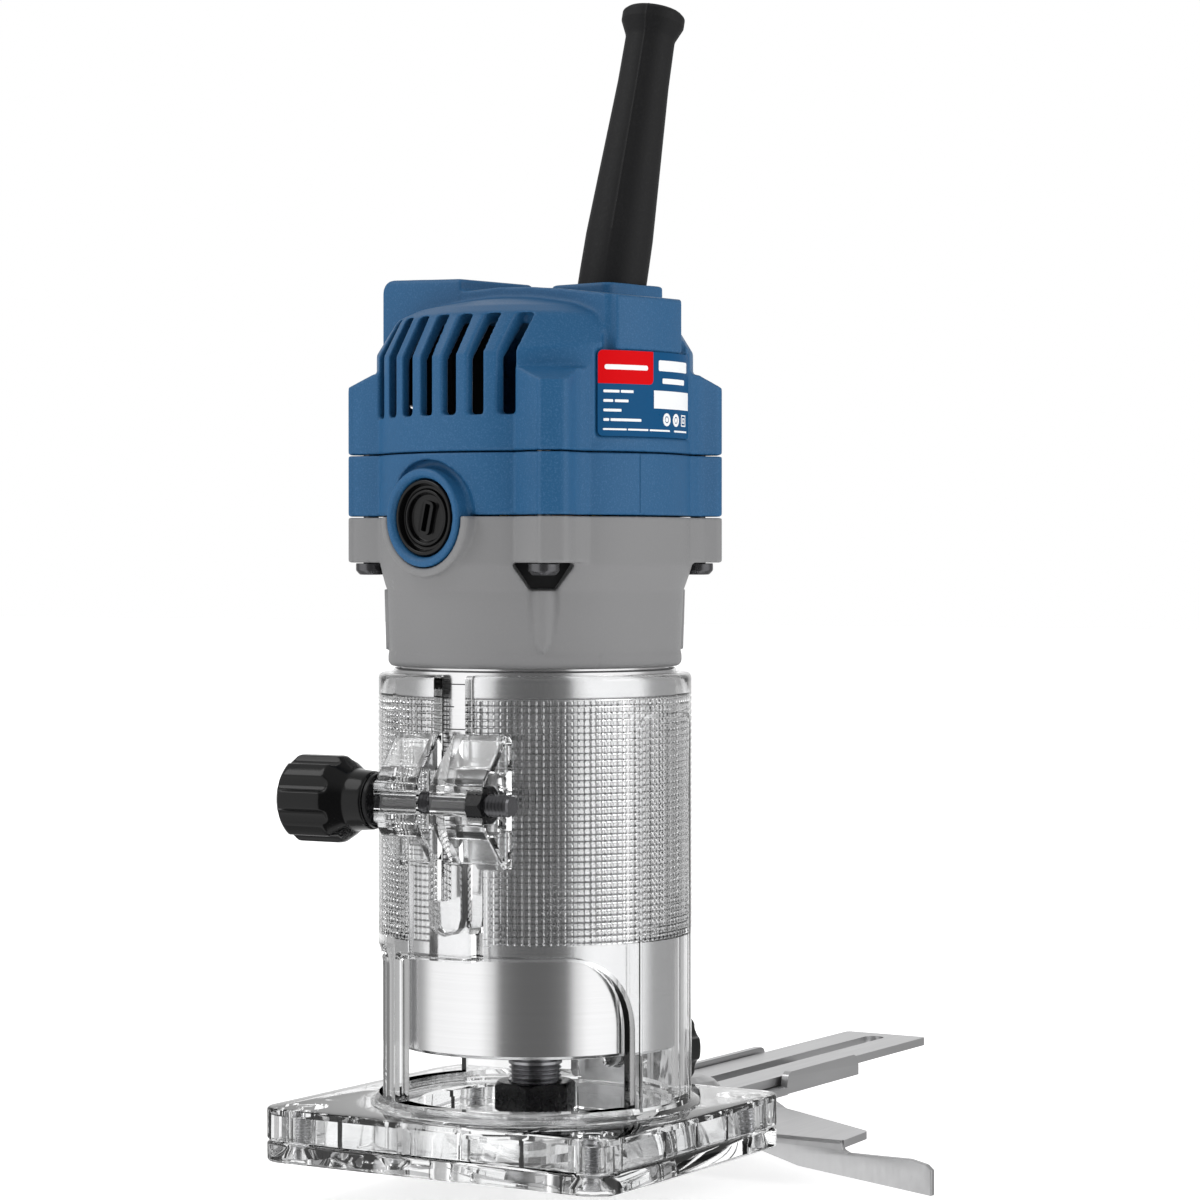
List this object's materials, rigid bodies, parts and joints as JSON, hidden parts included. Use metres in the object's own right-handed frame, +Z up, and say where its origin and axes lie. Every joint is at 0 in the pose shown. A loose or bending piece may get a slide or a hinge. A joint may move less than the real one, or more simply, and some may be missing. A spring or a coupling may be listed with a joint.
{
  "type": "trim router",
  "caption": "Compact trim router with a motor unit clamped in a clear tube base, collet spindle, and a sliding straight guide on a slotted arm.",
  "frame": {"origin": "centre of the whole footprint at its lowest point, which is the tips of the fence; the spindle axis stands on x = 0, y = -64.6 mm, and the sole is 9.3 mm above the origin", "axes": "+Z up along the spindle axis, +Y from the base towards the guide arm, +X towards the threaded end of the depth clamp's screw"},
  "size_m": [0.16, 0.2348, 0.278],
  "materials": {
    "base_tube": "clear acrylic, polished",
    "sub_base": "clear acrylic, polished",
    "sub_base_screw_1": "blackened steel",
    "sub_base_screw_2": "blackened steel",
    "sub_base_screw_3": "blackened steel",
    "sub_base_screw_4": "blackened steel",
    "clamp_knob": "black moulded plastic, slight gloss",
    "clamp_screw": "blackened steel",
    "clamp_washer": "blackened steel",
    "clamp_nut": "zinc-plated steel",
    "motor_barrel": "turned and brushed along the circumference",
    "lower_housing": "fine-grained moulded grey plastic",
    "middle_ring": "fine-grained moulded blue plastic",
    "top_cap": "fine-grained moulded blue plastic",
    "nameplate": "fine-grained moulded blue plastic",
    "housing_screw_1": "blackened steel",
    "housing_screw_2": "blackened steel",
    "housing_screw_3": "blackened steel",
    "housing_screw_4": "blackened steel",
    "brush_cap_1": "black moulded plastic, slight gloss",
    "brush_holder_1": "brass sheet",
    "carbon_brush_1": "carbon or black moulding",
    "brush_spring_1": "zinc-plated steel",
    "brush_cap_2": "black moulded plastic, slight gloss",
    "brush_holder_2": "brass sheet",
    "carbon_brush_2": "carbon or black moulding",
    "brush_spring_2": "zinc-plated steel",
    "field_core": "blackened steel",
    "lower_bearing": "zinc-plated steel",
    "upper_bearing": "zinc-plated steel",
    "switch_body": "carbon or black moulding",
    "rocker": "black moulded plastic, slight gloss",
    "cord_guard": "soft black rubber",
    "spindle_shaft": "zinc-plated steel",
    "armature_core": "blackened steel",
    "commutator": "copper segments",
    "fan": "carbon or black moulding",
    "collet_nut": "black moulded plastic, slight gloss",
    "collet_cone": "zinc-plated steel",
    "guide_arm": "zinc-plated steel",
    "guide_screw": "blackened steel",
    "guide_washer": "zinc-plated steel",
    "guide_knob": "black moulded plastic, slight gloss",
    "guide_fence": "zinc-plated steel",
    "guide_bolt": "zinc-plated steel",
    "guide_spacer": "zinc-plated steel",
    "guide_nut_washer": "zinc-plated steel",
    "wing_nut": "zinc-plated steel"
  },
  "bodies": {
    "base": {"base_tube": "base_tube", "sub_base": "sub_base", "sub_base_screw_1": "sub_base_screw_1", "sub_base_screw_2": "sub_base_screw_2", "sub_base_screw_3": "sub_base_screw_3", "sub_base_screw_4": "sub_base_screw_4", "clamp_nut": "clamp_nut", "guide_arm": "guide_arm"},
    "clamp_carrier": {"clamp_washer": "clamp_washer"},
    "clamp_knob_body": {"clamp_knob": "clamp_knob", "clamp_screw": "clamp_screw"},
    "motor": {"motor_barrel": "motor_barrel", "lower_housing": "lower_housing", "middle_ring": "middle_ring", "top_cap": "top_cap", "nameplate": "nameplate", "housing_screw_1": "housing_screw_1", "housing_screw_2": "housing_screw_2", "housing_screw_3": "housing_screw_3", "housing_screw_4": "housing_screw_4", "brush_cap_1": "brush_cap_1", "brush_holder_1": "brush_holder_1", "carbon_brush_1": "carbon_brush_1", "brush_spring_1": "brush_spring_1", "brush_cap_2": "brush_cap_2", "brush_holder_2": "brush_holder_2", "carbon_brush_2": "carbon_brush_2", "brush_spring_2": "brush_spring_2", "field_core": "field_core", "lower_bearing": "lower_bearing", "upper_bearing": "upper_bearing", "switch_body": "switch_body", "cord_guard": "cord_guard"},
    "rocker_body": {"rocker": "rocker"},
    "rotor": {"spindle_shaft": "spindle_shaft", "armature_core": "armature_core", "commutator": "commutator", "fan": "fan"},
    "collet": {"collet_cone": "collet_cone"},
    "collet_nut_body": {"collet_nut": "collet_nut"},
    "guide_clamp_carrier": {"guide_washer": "guide_washer"},
    "guide_knob_body": {"guide_knob": "guide_knob", "guide_screw": "guide_screw"},
    "guide_slider": {"guide_fence": "guide_fence", "guide_bolt": "guide_bolt", "guide_spacer": "guide_spacer"},
    "guide_nut_carrier": {"guide_nut_washer": "guide_nut_washer"},
    "wing_nut_body": {"wing_nut": "wing_nut"}
  },
  "joints": [
    {"name": "depth_slide", "type": "slide", "parent": "base", "child": "motor", "axis": [0, 0, 1], "range_m": [0, 0.04]},
    {"name": "clamp_travel", "type": "slide", "parent": "base", "child": "clamp_carrier", "axis": [-1, 0, 0], "range_m": [0, 0.0024]},
    {"name": "clamp_turn", "type": "hinge", "parent": "clamp_carrier", "child": "clamp_knob_body", "pos_m": [-0.03, -0.10762, 0.0926], "axis": [-1, 0, 0], "range_deg": [0, 1080]},
    {"name": "spindle_spin", "type": "hinge", "parent": "motor", "child": "rotor", "pos_m": [0, -0.06463, 0.0693], "axis": [0, 0, 1], "continuous": true},
    {"name": "collet_travel", "type": "slide", "parent": "rotor", "child": "collet", "axis": [0, 0, -1], "range_m": [0, 0.003]},
    {"name": "collet_turn", "type": "hinge", "parent": "collet", "child": "collet_nut_body", "pos_m": [0, -0.06463, 0.0233], "axis": [0, 0, -1], "range_deg": [0, 1080]},
    {"name": "rocker_tilt", "type": "hinge", "parent": "motor", "child": "rocker_body", "pos_m": [-0.03191, -0.059, 0.1913], "axis": [0.1736, 0.9848, 0], "range_deg": [0, 18]},
    {"name": "guide_clamp_travel", "type": "slide", "parent": "base", "child": "guide_clamp_carrier", "axis": [0, 1, 0], "range_m": [0, 0.0016]},
    {"name": "guide_clamp_turn", "type": "hinge", "parent": "guide_clamp_carrier", "child": "guide_knob_body", "pos_m": [0, -0.01263, 0.0273], "axis": [0, 1, 0], "range_deg": [0, 720]},
    {"name": "guide_slide", "type": "slide", "parent": "base", "child": "guide_slider", "axis": [0, 1, 0], "range_m": [0, 0.1]},
    {"name": "wing_travel", "type": "slide", "parent": "guide_slider", "child": "guide_nut_carrier", "axis": [0, 0, -1], "range_m": [0, 0.0024]},
    {"name": "wing_turn", "type": "hinge", "parent": "guide_nut_carrier", "child": "wing_nut_body", "pos_m": [0, 0.00537, 0.0053], "axis": [0, 0, -1], "range_deg": [0, 1080]}
  ],
  "couplings": [
    {"joint": "clamp_turn", "follows": "clamp_travel", "rad_per_m": 7854},
    {"joint": "collet_turn", "follows": "collet_travel", "rad_per_m": 6283.2},
    {"joint": "guide_clamp_turn", "follows": "guide_clamp_travel", "rad_per_m": 7854},
    {"joint": "wing_turn", "follows": "wing_travel", "rad_per_m": 7854}
  ]
}
